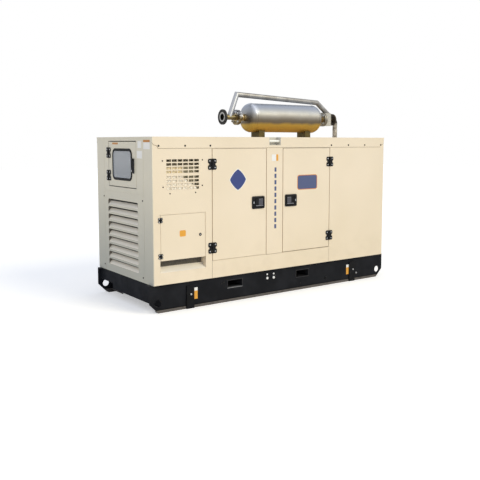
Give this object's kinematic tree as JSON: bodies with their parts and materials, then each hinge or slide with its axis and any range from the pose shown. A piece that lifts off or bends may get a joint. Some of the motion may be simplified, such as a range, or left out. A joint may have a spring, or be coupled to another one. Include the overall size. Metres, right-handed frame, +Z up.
{
  "type": "enclosed gas generator set",
  "caption": "Gas generator set in a sound-proof sheet-metal canopy on a steel skid base, with hinged service, power and control doors and a roof-mounted exhaust silencer.",
  "frame": {"origin": "centre of the bounding box's underside, on the floor the base stands on", "axes": "+X along the length from the intake end to the outlet end, -Y out of the service side, +Z up"},
  "size_m": [2.947, 1.168, 2.0266],
  "materials": {
    "cream_paint": "satin powder coat",
    "black_paint": "satin powder coat",
    "grey_paint": "satin",
    "stainless": "bead-blasted and polished",
    "galvanised": "zinc spangle",
    "dark_steel": "heat-darkened",
    "black_plastic": "moulded",
    "rubber": "extruded",
    "window_glass": "clear",
    "acoustic_foam": "open-cell foam"
  },
  "bodies": {
    "canopy": {"base_beam_front": "black_paint", "base_beam_back": "black_paint", "base_end_plates": "black_paint", "base_deck": "black_paint", "base_cross_members": "black_paint", "fork_pockets": "black_paint", "base_pads": "black_paint", "corner_panel": "cream_paint", "outlet_side_panel": "cream_paint", "door_sill": "cream_paint", "door_pillar": "cream_paint", "door_frames": "cream_paint", "back_panels": "cream_paint", "back_doors": "cream_paint", "back_fittings": "black_plastic", "control_end_panel": "cream_paint", "intake_louvre_panel": "cream_paint", "intake_blades": "cream_paint", "outlet_louvre_panel": "cream_paint", "outlet_blades": "cream_paint", "end_straps": "cream_paint", "roof": "cream_paint", "lifting_pockets": "galvanised", "acoustic_lining": "acoustic_foam", "inlet_baffle": "cream_paint", "power_cabinet": "cream_paint", "cable_recess": "cream_paint", "control_compartment": "grey_paint", "fixed_hinge_leaves": "black_plastic", "mounting_rails": "black_paint", "engine_block": "dark_steel", "alternator": "dark_steel", "silencer_vessel": "stainless", "silencer_saddles": "stainless", "outlet_pipe": "stainless", "joint_flanges": "stainless", "bypass_pipe": "stainless", "inlet_neck": "stainless", "valve_box": "grey_paint", "inlet_elbow": "dark_steel", "flexible_hose": "stainless"},
    "left_door": {"left_door": "cream_paint", "left_door_lining": "acoustic_foam", "left_door_hinges": "black_plastic", "left_latch": "black_plastic"},
    "left_paddle": {"left_paddle": "black_plastic"},
    "right_door": {"right_door": "cream_paint", "right_door_lining": "acoustic_foam", "right_door_hinges": "black_plastic", "right_latch": "black_plastic"},
    "right_paddle": {"right_paddle": "black_plastic"},
    "power_door": {"power_door": "cream_paint", "power_door_hinges": "black_plastic"},
    "control_door": {"control_door": "cream_paint", "control_gasket": "rubber", "control_window": "window_glass", "control_door_hinges": "black_plastic", "control_latch_plate": "black_plastic"},
    "control_handle": {"control_handle": "black_plastic"}
  },
  "joints": [
    {"name": "left_door_hinge", "type": "hinge", "parent": "canopy", "child": "left_door", "pos_m": [-0.8275, -0.577, 0.922], "axis": [0, 0, -1], "range_deg": [0, 105]},
    {"name": "left_paddle_pivot", "type": "hinge", "parent": "left_door", "child": "left_paddle", "pos_m": [-0.2905, -0.5785, 0.961], "axis": [-1, 0, 0], "range_deg": [0, 35]},
    {"name": "right_door_hinge", "type": "hinge", "parent": "canopy", "child": "right_door", "pos_m": [0.6325, -0.577, 0.922], "axis": [0, 0, 1], "range_deg": [0, 105]},
    {"name": "right_paddle_pivot", "type": "hinge", "parent": "right_door", "child": "right_paddle", "pos_m": [0.0955, -0.5785, 0.961], "axis": [-1, 0, 0], "range_deg": [0, 35]},
    {"name": "power_door_hinge", "type": "hinge", "parent": "canopy", "child": "power_door", "pos_m": [-1.3695, -0.577, 0.67], "axis": [0, 0, -1], "range_deg": [0, 105]},
    {"name": "control_door_hinge", "type": "hinge", "parent": "canopy", "child": "control_door", "pos_m": [-1.4495, 0.303, 1.295], "axis": [0, 0, -1], "range_deg": [0, 105]},
    {"name": "control_handle_pivot", "type": "hinge", "parent": "control_door", "child": "control_handle", "pos_m": [-1.4545, -0.219, 1.349], "axis": [1, 0, 0], "range_deg": [0, 90]}
  ]
}
